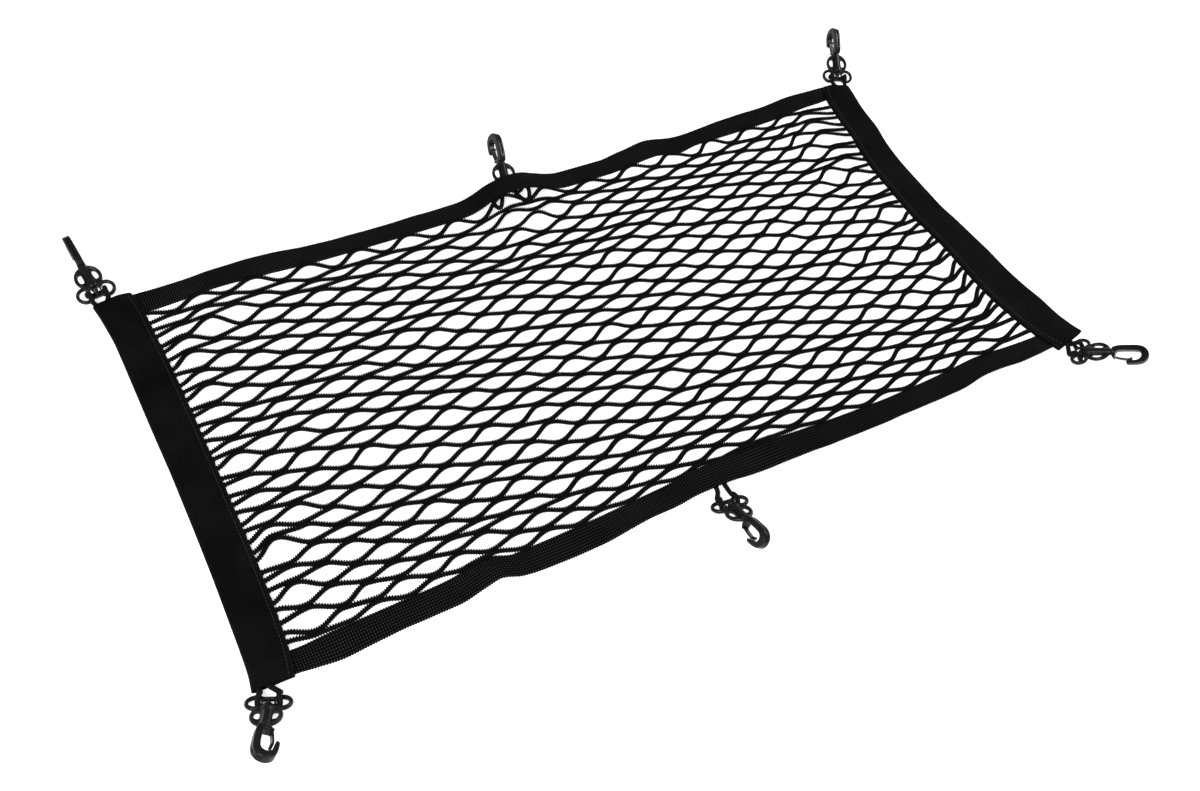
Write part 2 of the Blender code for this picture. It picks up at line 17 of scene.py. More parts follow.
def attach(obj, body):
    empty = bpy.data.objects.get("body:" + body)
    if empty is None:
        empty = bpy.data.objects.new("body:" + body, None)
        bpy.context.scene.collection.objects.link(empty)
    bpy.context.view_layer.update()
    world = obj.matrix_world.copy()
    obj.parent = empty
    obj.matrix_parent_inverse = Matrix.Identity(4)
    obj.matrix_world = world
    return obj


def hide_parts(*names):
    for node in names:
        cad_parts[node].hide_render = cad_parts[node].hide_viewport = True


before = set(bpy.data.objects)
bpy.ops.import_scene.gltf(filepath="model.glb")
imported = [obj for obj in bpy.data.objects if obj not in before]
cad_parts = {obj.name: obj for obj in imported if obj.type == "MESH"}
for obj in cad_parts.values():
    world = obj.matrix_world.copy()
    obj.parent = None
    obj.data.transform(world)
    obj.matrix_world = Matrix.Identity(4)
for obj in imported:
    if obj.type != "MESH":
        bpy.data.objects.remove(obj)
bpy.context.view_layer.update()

# %% [markdown]
# ## Camera
# The photograph looks down on the net from its front left, about 54 degrees above the
# floor, and the camera is rolled by 12 degrees. A camera could be aimed with a
# constraint, but a roll is easier to give as three axes: back towards the camera, right
# and up. Turning right and up by the roll angle makes the matrix.

# %% Set the camera
def put(name, data):
    """Adds an object to the scene."""
    made = bpy.data.objects.new(name, data)
    bpy.context.collection.objects.link(made)
    return made


AZIMUTH = -0.67994      # radians round the net from its front, minus to the left
ELEVATION = 0.93853     # radians above the floor
ROLL = 0.213106
EYE = Vector((-0.45362, -0.560655, 0.86686))
SENSOR = 36.0
FOCAL_SHARE = 1194.69 / 1200    # focal length as a share of the picture's width

lens = bpy.data.cameras.new("photo_camera")
lens.sensor_width = SENSOR
lens.lens = SENSOR * FOCAL_SHARE
back = Vector((math.sin(AZIMUTH) * math.cos(ELEVATION),
               -math.cos(AZIMUTH) * math.cos(ELEVATION), math.sin(ELEVATION)))
right = (-back).cross(Vector((0, 0, 1))).normalized()
up = right.cross(-back)
rolled_right = right * math.cos(ROLL) + up * math.sin(ROLL)
rolled_up = up * math.cos(ROLL) - right * math.sin(ROLL)
axes = Matrix((rolled_right, rolled_up, back)).transposed()
camera = put("photo_camera", lens)
camera.matrix_world = Matrix.Translation(EYE) @ axes.to_4x4()
bpy.context.scene.camera = camera
print("camera lens in mm", round(lens.lens, 2))

# %% [markdown]
# ## A node board written as sums
# A finish is mostly arithmetic on positions: a sine for a row of stitches, a product
# for where ridges and rows cross. Nodes can be placed one by one, but sums are easier to
# read. The first small class wraps a socket, so that an ordinary Python expression adds
# the Math nodes it needs. The second holds one finish and adds every other kind of node.

# %% Sockets that can be added and multiplied
class Wire:
    """One number on a node board; every operator on it adds a Math node."""

    def __init__(self, board, socket):
        self.board = board
        self.socket = socket

    def math(self, operation, *inputs):
        return self.board.node("ShaderNodeMath", {"operation": operation}, list(inputs))

    def __add__(self, other):
        return self.math("ADD", self, other)

    def __sub__(self, other):
        return self.math("SUBTRACT", self, other)

    def __rsub__(self, other):
        return self.math("SUBTRACT", other, self)

    def __mul__(self, other):
        return self.math("MULTIPLY", self, other)

    def __pow__(self, other):
        return self.math("POWER", self, other)

    __radd__ = __add__
    __rmul__ = __mul__

    def sine(self):
        return self.math("SINE", self)

    def size(self):
        return self.math("ABSOLUTE", self)

    def limited(self):
        return self.board.node("ShaderNodeClamp", {}, [self, 0.0, 1.0])


class Board:
    """A material's node board round its Principled shader."""

    def __init__(self, name, **constants):
        self.material = bpy.data.materials.new(name)
        self.material.use_nodes = True
        self.tree = self.material.node_tree
        self.shader = self.tree.nodes["Principled BSDF"]
        for socket, value in constants.items():
            self.shader.inputs[socket.replace("_", " ")].default_value = value
        print("finish", name)

    def node(self, kind, settings, inputs, out=0):
        """Adds a node: its settings first, then the values or links of its sockets."""
        made = self.tree.nodes.new(kind)
        for name, value in settings.items():
            setattr(made, name, value)
        pairs = inputs.items() if isinstance(inputs, dict) else enumerate(inputs)
        for key, value in pairs:
            if isinstance(value, Wire):
                self.tree.links.new(value.socket, made.inputs[key])
            else:
                made.inputs[key].default_value = value
        return Wire(self, made.outputs[out])

    def measure(self, name):
        """A number that the mesh carries at its points."""
        return self.node("ShaderNodeAttribute", {"attribute_name": name}, {}, "Fac")

    def place(self):
        """The point's position on the piece, in metres."""
        return self.node("ShaderNodeTexCoord", {}, {}, "Object")

    def noise(self, scale, detail=3.0):
        return self.node("ShaderNodeTexNoise", {},
                         {"Vector": self.place(), "Scale": scale, "Detail": detail}, "Fac")

    def feed(self, socket, value):
        self.tree.links.new(value.socket, self.shader.inputs[socket])

    def tint(self, share, low, high):
        """Base colour between two colours by share; a lone number is a grey."""
        low, high = ((*c, 1.0) if isinstance(c, tuple) else (c, c, c, 1.0) for c in (low, high))
        self.feed("Base Color", self.node("ShaderNodeMix", {"data_type": "RGBA"},
                                          {"Factor": share, "A": low, "B": high}, "Result"))

    def rough(self, value):
        self.feed("Roughness", value)

    def raise_by(self, height, distance, strength=1.0):
        """Bumps the surface by height times distance in metres."""
        bump = self.node("ShaderNodeBump", {},
                         {"Strength": strength, "Distance": distance, "Height": height}, "Normal")
        self.feed("Normal", bump)


# %% [markdown]
# ## Sizes that the pieces share
# The band and tape edges were read off the photograph as plan sizes in millimetres,
# with the net's middle as zero, and the CAD uses the same rows. A curve object could hold
# them too, but rows of numbers are easier to compare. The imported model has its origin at
# the middle of the whole footprint, so one shift takes every point there.

# %% Rows along the bands and tapes, in millimetres
SHIFT = np.array((0.81, 1.965, 0.0))
MM = 0.001
TURN = 2 * math.pi

# left band: y, outer edge x, inner edge x, height of the fold
LEFT_BAND = [
    (-200, -423, -390, 7.2), (-186, -420.8, -387.4, 7.2),
    (-168, -419.8, -385.4, 4.6), (-140, -419, -384, 4),
    (-100, -418, -382.7, 3.8), (-50, -417.5, -382.5, 4.1),
    (0, -417.5, -382.4, 3.8), (50, -418.4, -382.8, 4.2),
    (100, -419, -383.6, 3.8), (150, -419.8, -385.4, 4.1),
    (168, -421.4, -386.2, 4.8), (184, -423.4, -388.2, 7.2),
    (196, -425.4, -391, 7.2),
]
LEFT_SKEW = (-1.0, 5.0)     # how far the open edge runs on at the front and back ends

# right band: the same columns
RIGHT_BAND = [
    (-199.5, 424.5, 389, 7.2), (-186, 419.4, 382, 7.2),
    (-170, 417.4, 376, 4.6), (-150, 415.5, 371.4, 4.2),
    (-125, 411, 367.5, 3.8), (-100, 408, 366, 4.3),
    (-75, 407.4, 366, 3.8), (-50, 405, 366, 4.2),
    (-25, 403, 364, 3.8), (0, 400, 361.5, 4.1),
    (50, 400, 363, 3.8), (75, 400.5, 364, 4.2),
    (100, 403.5, 367.5, 3.8), (125, 408.6, 373, 4.2),
    (150, 411, 375.5, 4), (166, 413, 378.5, 4.8),
    (180, 414.6, 382, 7.2), (190.5, 416.5, 388, 7.2),
]
RIGHT_SKEW = (-7.5, 12.5)

# back tape: x, inner edge y, outer edge y, lift of its underside
BACK_TAPE = [
    (-404, 176.5, 198.5, 0), (-385, 176, 200, 0),
    (-350, 177.6, 200.4, 0), (-320, 180, 203, 0),
    (-270, 177.6, 202.5, 0), (-230, 174.8, 197.4, 0),
    (-150, 173.4, 194.6, 0), (-95, 173.4, 194.8, 0),
    (-70, 173.6, 195.4, 0.6), (-56, 173.6, 195.4, 5.4),
    (-43, 173.6, 195.6, 12.6), (-30, 173.8, 196, 16),
    (-16, 174, 196.4, 16.8), (-3, 173.8, 196.2, 15.4),
    (10, 173.6, 195.8, 10.2), (24, 173.4, 195.6, 4.6),
    (38, 173.4, 195.6, 0.6), (60, 173.4, 195.8, 0),
    (92, 173.4, 195.6, 0), (120, 176, 199.5, 0),
    (150, 178.5, 203.6, 0), (178, 173.4, 197.6, 0),
    (200, 177, 197.4, 0), (250, 177.6, 201, 0),
    (300, 179, 202, 0), (330, 181.6, 205.4, 0),
    (352, 183.6, 206, 0), (396, 184, 204, 0),
]

# front tape: the same columns
FRONT_TAPE = [
    (-404, -180, -198.4, 0), (-380, -180, -200.6, 0),
    (-350, -178.5, -203.4, 0), (-300, -178, -201, 0),
    (-255, -177.2, -200.6, 0), (-232, -174, -196.8, 0),
    (-216, -172.6, -194.4, 0), (-198, -178.6, -200.4, 0),
    (-150, -178.5, -203, 0), (-110, -177.8, -201.2, 0),
    (-80, -176.6, -198.4, 0), (-48, -175.5, -198, 0.4),
    (-30, -175.2, -198, 5.2), (-12, -174.9, -198, 6.2),
    (6, -174.5, -198, 5), (26, -173, -198.6, 0.4),
    (50, -172.5, -199.5, 0), (90, -176.4, -201, 0),
    (150, -180, -203, 0), (200, -181.5, -204, 0),
    (260, -180.4, -204, 0), (300, -178.5, -199.8, 0),
    (350, -182, -202.5, 0), (396, -184, -201.4, 0),
]
INNER, OUTER, LIFT = 1, 2, 3    # columns of a tape
BAND_OUT, BAND_IN, FOLD = 1, 2, 3
print("bands", len(LEFT_BAND), len(RIGHT_BAND), "rows, tapes", len(BACK_TAPE), len(FRONT_TAPE))


# %% Read a row between its stations
def cubic(s, a, slope_a, b, slope_b):
    """From a to b as s runs from 0 to 1, with the slopes given at both."""
    s2 = s * s
    s3 = s2 * s
    return ((2 * s3 - 3 * s2 + 1) * a + (s3 - 2 * s2 + s) * slope_a + (3 * s2 - 2 * s3) * b
            + (s3 - s2) * slope_b)


def along(rows, column, t):
    """Smooth value of one column at t, by cubic pieces between the rows."""
    if t <= rows[0][0]:
        return rows[0][column]
    if t >= rows[-1][0]:
        return rows[-1][column]
    k = 0
    while rows[k + 1][0] < t:
        k += 1

    def slope(i):
        low = max(i - 1, 0)
        high = min(i + 1, len(rows) - 1)
        return (rows[high][column] - rows[low][column]) / (rows[high][0] - rows[low][0])

    span = rows[k + 1][0] - rows[k][0]
    s = (t - rows[k][0]) / span
    a, b = rows[k][column], rows[k + 1][column]
    slopes = [m if (b - a) * m > 0 else 0.0 for m in (slope(k) * span, slope(k + 1) * span)]
    return cubic(s, a, slopes[0], b, slopes[1])


def ease(low, high, t):
    """From 0 at low to 1 at high, with a soft start and end."""
    s = min(max((t - low) / (high - low), 0.0), 1.0)
    return s * s * (3 - 2 * s)


def wander(x, y, phase):
    """Gentle unevenness of hand-laid cloth, the same every time, from -1 to 1."""
    return (0.5 * np.sin(0.021 * x + 0.034 * y + phase)
            + 0.3 * np.sin(0.047 * x - 0.029 * y + 2.1 * phase)
            + 0.2 * np.sin(-0.083 * x + 0.071 * y + 3.3 * phase))


# %% Turn millimetre points into a piece of the scene
def store(mesh, key, values):
    """Keeps a number at each point for the finish to read."""
    held = mesh.attributes.new(key, "FLOAT", "POINT")
    held.data.foreach_set("value", np.array(values, np.float32))


def make_mesh(points, faces, **measures):
    """Smooth mesh from millimetre points."""
    mesh = bpy.data.meshes.new("shape")
    mesh.from_pydata(((np.array(points) + SHIFT) * MM).tolist(), [], faces)
    for key, values in measures.items():
        store(mesh, key, values)
    work = bmesh.new()
    work.from_mesh(mesh)
    bmesh.ops.recalc_face_normals(work, faces=work.faces)
    work.to_mesh(mesh)
    work.free()
    mesh.polygons.foreach_set("use_smooth", [True] * len(mesh.polygons))
    return mesh


def add_piece(name, mesh, finish, nodes, body="net_body", place=None):
    """Links a mesh as a piece that rides on a body and stands for CAD nodes."""
    if place is not None:
        mesh = mesh.copy()
        mesh.transform(place)
    mesh.name = name
    mesh.materials.append(finish.material)
    piece = put(name, mesh)
    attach(piece, body)
    if nodes:
        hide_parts(*nodes)
    print(name, len(mesh.polygons), "faces")
    return piece


def tube_faces(rings, count, first=0):
    """Quads between equal rings and a cap on both ends."""
    ring = np.arange(count)
    row = np.arange(rings - 1)[:, None] * count + first
    here = row + ring
    there = row + (ring + 1) % count
    quads = np.stack([here, there, there + count, here + count], -1).reshape(-1, 4)
    last = first + (rings - 1) * count
    caps = [list(range(first, first + count)), list(range(last, last + count))]
    return quads.tolist() + caps


# %% [markdown]
# ## The netting
# The real netting is warp knitted: cords run from band to band, and each cord is
# linked in turn to the neighbour on one side and then on the other, which opens the
# diamonds. A lattice texture on a plane would look flat from the side, and a modifier
# array would be too regular, because this net lies unevenly: some meshes are pulled wide
# open and others are bunched. So every cord is a tube of its own, led through the joints,
# whose places across the net were measured column by column.

# %% Where the cords are linked
CORDS = 38
COLUMN_START = -363.0
COLUMN_STEP = 25.15
JOINT_REACH = 3.6       # half the length over which two cords run side by side
JOINT_SPREAD = 1.7      # each cord's distance from the joint's middle
DRIFT = 1.6             # how far joints and ends stray from their even places
BAND_FRONT = -174.5     # y of the first and the span of all cord ends in the bands
BAND_SPAN = 347.0
IN_BAND, AT_MOUTH = 8.0, 1.2    # a cord's last two points, from the band's open edge
CORD_RADIUS = 2.04
BEAD = 2.2              # length of one knitted stitch along the cord

# each row is one column of joints: their y, from the front tape to the back tape
JOINTS = [
    [-175, -152, -128, -113, -85, -72, -56, -38, -20, 4, 18, 38, 57, 80, 96, 119, 136, 152, 166],
    [-164, -142, -122, -102, -83, -62, -48, -30, -8, 12, 28, 45, 67, 86, 107, 123, 150, 163],
    [-170, -152, -134, -112, -96, -77, -58, -38, -16, 6, 23, 40, 56, 76, 97, 112, 130, 156, 169],
    [-160, -144, -124, -107, -91, -68, -48, -26, -8, 14, 32, 48, 66, 84, 104, 122, 142, 160],
    [-170, -152, -136, -118, -98, -80, -60, -34, -16, 4, 22, 42, 56, 74, 94, 112, 132, 148, 164],
    [-159, -144, -128, -106, -92, -70, -48, -25, -7, 12, 32, 49, 68, 84, 102, 122, 142, 154],
    [-170, -150, -138, -119, -101, -80, -57, -38, -15, 2, 20, 36, 56, 74, 92, 112, 132, 146, 160],
    [-162, -144, -128, -108, -90, -69, -49, -26, -8, 10, 24, 46, 68, 82, 101, 120, 139, 156],
    [-170, -152, -136, -116, -100, -78, -57, -39, -17, 0, 15, 34, 58, 76, 92, 112, 130, 146, 160],
    [-162, -148, -128, -108, -88, -69, -48, -29, -10, 7, 24, 45, 68, 84, 101, 118, 136, 154],
    [-172, -153, -136, -118, -100, -76, -56, -38, -19, -2, 15, 34, 56, 76, 91, 110, 127, 146, 160],
    [-163, -144, -128, -109, -89, -67, -50, -32, -10, 6, 26, 47, 68, 86, 102, 116, 134, 153],
    [-169, -152, -136, -116, -99, -78, -60, -42, -21, -2, 18, 36, 58, 77, 92, 106, 124, 145, 160],
    [-162, -143, -128, -110, -90, -68, -52, -34, -14, 9, 27, 47, 66, 87, 102, 120, 138, 156],
    [-169, -151, -136, -118, -100, -80, -62, -42, -22, 0, 18, 36, 54, 78, 93, 108, 126, 148, 158],
    [-160, -145, -128, -112, -94, -69, -54, -32, -14, 7, 26, 44, 66, 85, 102, 118, 136, 156],
    [-170, -153, -138, -118, -100, -82, -62, -43, -23, -1, 16, 37, 58, 80, 95, 109, 128, 149, 164],
    [-161, -148, -128, -110, -94, -71, -54, -32, -12, 8, 26, 46, 69, 89, 105, 121, 140, 156],
    [-172, -155, -138, -119, -100, -84, -62, -42, -22, -4, 16, 37, 58, 78, 98, 114, 130, 148, 162],
    [-164, -149, -130, -108, -92, -72, -54, -34, -17, 4, 25, 46, 69, 86, 107, 122, 140, 156],
    [-172, -156, -141, -121, -102, -82, -62, -44, -25, -8, 14, 36, 58, 76, 100, 115, 131, 146, 164],
    [-164, -149, -131, -109, -93, -74, -53, -35, -16, 3, 26, 47, 69, 86, 107, 122, 138, 155],
    [-174, -156, -138, -120, -104, -84, -64, -44, -24, -8, 14, 38, 58, 78, 96, 115, 131, 146, 162],
    [-165, -150, -131, -111, -96, -75, -54, -36, -16, 4, 28, 50, 70, 89, 107, 123, 140, 156],
    [-174, -157, -138, -121, -105, -84, -63, -46, -24, -7, 14, 36, 60, 78, 97, 115, 132, 150, 164],
    [-164, -148, -132, -116, -96, -76, -55, -37, -14, 6, 26, 48, 70, 88, 106, 122, 142, 159],
    [-170, -154, -140, -124, -108, -84, -65, -44, -22, -4, 17, 38, 58, 79, 96, 115, 134, 153, 168],
    [-162, -147, -136, -118, -97, -74, -57, -32, -12, 8, 30, 46, 64, 93, 105, 130, 150, 164],
    [-174, -155, -142, -126, -106, -89, -65, -44, -20, -6, 22, 36, 56, 79, 100, 117, 142, 161, 175],
]


# %% Lead one cord through its joints
def net_lift(x, y):
    """The netting's back edge rises with the tape over the middle hook."""
    return max(along(BACK_TAPE, LIFT, x), 0.0) * ease(126.0, 168.0, y)


def cord_stops(cord):
    """Plan points of one cord: both ends in the bands and two points at each joint."""
    share = cord / (CORDS - 1)
    stops = []
    for column, heights in enumerate(JOINTS):
        x = COLUMN_START + COLUMN_STEP * column
        odd = column % 2
        if odd and cord in (0, CORDS - 1):
            edge, inward = (FRONT_TAPE, 1.0) if cord == 0 else (BACK_TAPE, -1.0)
            for reach in (-JOINT_REACH, JOINT_REACH):
                stops.append((x + reach, along(edge, INNER, x + reach) + inward))
            continue
        joint, side = divmod(cord - odd, 2)
        y = heights[joint]
        middle = x + DRIFT * wander(x, 3.0 * y, 0.7)
        offset = JOINT_SPREAD * (2 * side - 1)
        tilt = 0.06 * wander(x, y, 4.1)
        for reach in (-JOINT_REACH, JOINT_REACH):
            stops.append((middle + reach, y + offset + reach * tilt))
    for band, face, x in ((LEFT_BAND, 1.0, stops[0][0]), (RIGHT_BAND, -1.0, stops[-1][0])):
        y = BAND_FRONT + BAND_SPAN * share + DRIFT * math.sin(2.4 * cord + face)
        mouth = along(band, BAND_IN, y)
        ends = [(mouth - IN_BAND * face, y), (mouth + AT_MOUTH * face, y)]
        stops = ends + stops if face > 0 else stops + ends[::-1]
    return stops


def smooth_line(stops, step, samples=3000):
    """Even points on a curve that passes each stop at half the steeper slope beside it."""
    x, y = np.array(stops, float).T
    slope = np.diff(y) / np.diff(x)
    turn = np.zeros(len(x))
    steep = np.where(np.abs(slope[:-1]) > np.abs(slope[1:]), slope[:-1], slope[1:])
    turn[1:-1] = 0.5 * steep
    fine = np.linspace(x[0], x[-1], samples)
    k = np.clip(np.searchsorted(x, fine) - 1, 0, len(x) - 2)
    span = x[k + 1] - x[k]
    s = (fine - x[k]) / span
    level = cubic(s, y[k], span * turn[k], y[k + 1], span * turn[k + 1])
    gone = np.concatenate([[0.0], np.cumsum(np.hypot(np.diff(fine), np.diff(level)))])
    even = np.linspace(0.0, gone[-1], int(gone[-1] / step) + 1)
    return np.interp(even, gone, fine), np.interp(even, gone, level), even


# %% Knit the cords as beaded tubes
SIDES = 6
BEAD_DEPTH = 0.29       # of the radius, out at one ring and in at the next
THIN_RIGHT, THIN_BACK = 0.00016, 0.0002     # share of the radius lost per millimetre
LIE = 1.95              # least height of a cord's middle above the floor
PRESSED = 0.42          # share of its height that a cord loses inside a band


def cord_rings(cord):
    """Rings of one cord: fat and thin by turns, thinner to the right and the back, where
    the net is drawn out more, and pressed flat inside the bands."""
    x, y, gone = smooth_line(cord_stops(cord), BEAD / 2)
    left = np.array([along(LEFT_BAND, BAND_IN, v) for v in y])
    right = np.array([along(RIGHT_BAND, BAND_IN, v) for v in y])
    inside = np.clip(1 - np.minimum(x - left, right - x) / 4.0, 0.0, 1.0)
    lift = np.array([net_lift(a, b) for a, b in zip(x, y)])
    bead = 1 + BEAD_DEPTH * np.cos(np.pi * np.arange(len(x)))
    drawn = 1 - THIN_RIGHT * x - THIN_BACK * y
    wide = CORD_RADIUS * drawn * bead * (1 + 0.05 * wander(2 * x, 2 * y, cord))
    tall = wide * (1 - PRESSED * inside)
    loose = 0.25 * np.maximum(wander(3 * x, 3 * y, 2.0), 0)
    middle = np.maximum(LIE, tall + 0.05) + lift + loose
    ahead = np.stack([np.gradient(x), np.gradient(y)], -1)
    ahead /= np.linalg.norm(ahead, axis=1)[:, None]
    turn = TURN * (np.arange(SIDES) + 0.5) / SIDES
    aside = wide[:, None] * np.cos(turn)
    points = np.stack([x[:, None] - ahead[:, 1:] * aside, y[:, None] + ahead[:, :1] * aside,
                       middle[:, None] + tall[:, None] * np.sin(turn)], -1)
    return points.reshape(-1, 3), np.repeat(gone, SIDES), len(x)


def knit(cords):
    """One mesh of several cords, each with the length gone along it."""
    points, gone, faces = [], [], []
    count = 0
    for cord in cords:
        ring_points, ring_gone, rings = cord_rings(cord)
        points.append(ring_points)
        gone.append(ring_gone)
        faces += tube_faces(rings, SIDES, count)
        count += len(ring_points)
    return make_mesh(np.concatenate(points), faces, gone=np.concatenate(gone))


# %% [markdown]
# ### Cord finish
# Knitted polyester over rubber is a dull black with fine stray fibres. A painted
# texture would need the cords unwrapped, so the finish is sums of procedural noise. The
# beads are in the mesh, so it only adds a shade for each stitch and the fibres, and greys
# whole patches a little, as handling does.

# %% Mix the cord finish
cord_finish = Board("net_cord_knit", Specular_IOR_Level=0.06)
stitch = (cord_finish.measure("gone") * (TURN / BEAD)).sine()
fibre = cord_finish.noise(1900.0, 4.0)
patch = cord_finish.noise(38.0)
cord_finish.tint((fibre * 0.6 + stitch * 0.15 + patch * 0.4 - 0.1).limited(),
                 (0.0015, 0.0015, 0.0016), 0.009)
cord_finish.rough(0.72 + fibre * 0.2)
cord_finish.raise_by(fibre + stitch * 0.4, 0.00035, 0.8)

# %% Add both halves of the netting
# Alternate cords go into two meshes, which keeps each one light enough to handle.
netting = add_piece("netting_even_cords", knit(range(0, CORDS, 2)), cord_finish,
                    ["net"])
netting_odd = add_piece("netting_odd_cords", knit(range(1, CORDS, 2)), cord_finish,
                        ["net"])

# %% [markdown]
# ## The edge tapes
# Each tape is a knitted elastic with nine lengthwise ribs and a row of beads for every
# weft thread, 2.2 mm apart, which also shows as a fine saw edge. A bump map would leave
# the edges straight and the ribs flat from the side, so they are in the mesh: a
# cross-section of ribs is drawn at every half bead, and every other one is a little
# higher and wider.

# %% Draw the ribbed cross-section along a tape
RIBS = 9
TAPE_THICK = 2.1
IN_BAND_LOW, IN_BAND_HIGH = 1.3, 2.5    # the tape's underside and top inside a band
INTO_BAND = 13.0        # length over which it sinks into the band
SAW_IN, SAW_OUT = 0.48, 0.52
RIB_TALL = 0.55


def tape_mesh(table):
    """A tape with its ribs, beads and saw edges, pressed flat where a band holds it."""
    start, end = table[0][0], table[-1][0]
    stations = np.linspace(start, end, int((end - start) / (BEAD / 2)))
    near = table[1][INNER], table[1][OUTER]
    left = max(along(LEFT_BAND, BAND_IN, y) for y in near)
    right = min(along(RIGHT_BAND, BAND_IN, y) for y in near)
    across = np.linspace(0.0, 1.0, 4 * RIBS + 1)
    rib = np.abs(np.sin(np.pi * RIBS * across)) ** 0.6
    round_off = np.sqrt(np.clip(1 - np.abs(2 * across - 1) ** 14, 0, 1))
    points, gone, over = [], [], []
    for i, x in enumerate(stations):
        inner, outer, lift = (along(table, column, x) for column in (INNER, OUTER, LIFT))
        held = (1 - ease(left + 1.0, left + INTO_BAND, x)
                + ease(right - INTO_BAND, right - 1.0, x))
        free = 1 - held
        bead = 1.0 if i % 2 else -1.0
        outward = 1.0 if outer > inner else -1.0
        inner -= outward * SAW_IN * bead * free
        outer += outward * (SAW_OUT * bead * free + 0.5 * wander(2.3 * x, 0, 1.1) * free)
        ripple = 0.55 * max(wander(1.7 * x, 20, 2.6), 0) * free
        low = max(lift, 0.0) * free + IN_BAND_LOW * held
        high = TAPE_THICK * free + (IN_BAND_HIGH - IN_BAND_LOW) * held
        y = inner + (outer - inner) * across
        bulge = ripple * np.sin(np.pi * across)
        relief = rib * (RIB_TALL + 0.24 * bead) * (1 - 0.8 * held)
        top = low + bulge + (high - RIB_TALL) * (0.35 + 0.65 * round_off) + relief
        under = low + bulge + (1 - round_off) * 0.3 * high + (1 - rib) * 0.22 * free
        for level, ys in ((top, y), (under[::-1], y[::-1])):
            points += zip([x] * len(ys), ys, level)
        gone += [x - start] * (2 * len(y))
        over += list(across) + list(across[::-1])
    count = 2 * len(across)
    return make_mesh(points, tube_faces(len(stations), count), gone=gone, over=over)


# %% [markdown]
# ### Tape finish
# The covered rubber threads of the ribs catch the light, and the weft between them stays
# black. That catch of light is painted: two sines, one for ribs and one for beads, place a
# grey highlight on the mesh's own measures, so it sits on the ribs wherever the tape bends,
# and a coarse noise, partly wear, makes it brighter in patches. One flat colour would hide them.

# %% Mix the tape finish
tape_finish = Board("edge_tape_ribbed", Specular_IOR_Level=0.05)
rows = (tape_finish.measure("gone") * (TURN / BEAD)).sine()
ribs = (tape_finish.measure("over") * (math.pi * RIBS)).sine().size()
fibre = tape_finish.noise(1500.0, 4.0)
wear_and_sheen = tape_finish.noise(24.0)
# Painted highlight: the ribs and their beads are tinted grey where they would catch the light; the
# coarse noise adds wear and makes that highlight brighter in patches.
tape_finish.tint((ribs * 0.9 + ribs * rows * 0.65 + fibre * 0.4 + wear_and_sheen * 0.6 - 1.12).limited(),
                 0.0002, (0.036, 0.036, 0.035))
tape_finish.rough(0.62 + fibre * 0.25)
tape_finish.raise_by(ribs * rows * 0.6 + fibre * 0.5, 0.0003, 0.8)

# %% Add the tapes
for side, table in (("back", BACK_TAPE), ("front", FRONT_TAPE)):
    tape = add_piece("ribbed_tape_" + side, tape_mesh(table), tape_finish,
                     ["tape_" + side])

# %% [markdown]
# ## The end bands
# Each end band is a strip of fine twill, folded in half over the ends of the cords and
# sewn through 4 mm from its open edge. A flattened box would miss what makes it look
# sewn: the round fold, two cut edges with a dark slit between them, the cords that press
# through, the groove that the thread pulls, and loose mouths at both ends. So the band
# is a folded shell with a real thickness, and the thread's dashes are laid in the groove.

# %% Fold a band
PLY = 0.85              # thickness of the cloth
LIP = 4.3               # height of the open edge
LEAST_FOLD = 3.9
LIP_FROM, LIP_OVER = 0.68, 0.32     # shares of the width where the top sinks to the lip
SEAM_IN = 4.2           # the stitch line's distance from the open edge
STITCH_STEP = 3.4
CORD_PITCH = 9.38
BAND_RINGS = 270


def band_frame(table, skew, y):
    """A band's fold line, the way to its open edge, its width, height and skew."""
    outer, inner, high = (along(table, column, y) for column in (BAND_OUT, BAND_IN, FOLD))
    run = skew[1] * ease(150.0, 198.0, y) + skew[0] * ease(-150.0, -200.0, y)
    toward = 1.0 if inner > outer else -1.0
    return outer, toward, abs(inner - outer), max(high, LEAST_FOLD), run


def band_relief(y, into, width):
    """How far the upper ply rises or sinks, by the distance from the open edge."""
    calm = 1 - ease(186.0, 196.0, abs(y))
    pull = 0.75 + 0.25 * math.cos(TURN * y / STITCH_STEP)
    seam = -0.5 * np.exp(-((into - SEAM_IN) / 0.7) ** 2) * pull
    cords = (0.30 * math.cos(TURN * (y - BAND_FRONT) / CORD_PITCH)
             * np.exp(-((into - 7.5) / 5.0) ** 2))
    lip = 0.28 * math.sin(TURN * y / CORD_PITCH + 0.6) * np.exp(-(into / 2.4) ** 2)
    waves = 0.45 * wander(1.4 * y, 1.1 * into, 0.8) + 0.28 * wander(4.5 * y, 2.0 * into, 2.9)
    fold = np.clip((width - into) / 9.0, 0.0, 1.0)
    return (seam + cords + lip) * calm + waves * fold * np.clip(into / 6.0, 0.25, 1.0)


def band_top(y, across, width, high):
    """Height of the upper ply, which sinks to the lip and follows the relief."""
    sink = np.clip((across - LIP_FROM * width) / (LIP_OVER * width), 0, 1) ** 1.3
    return high - (high - LIP) * sink + band_relief(y, width - across, width)


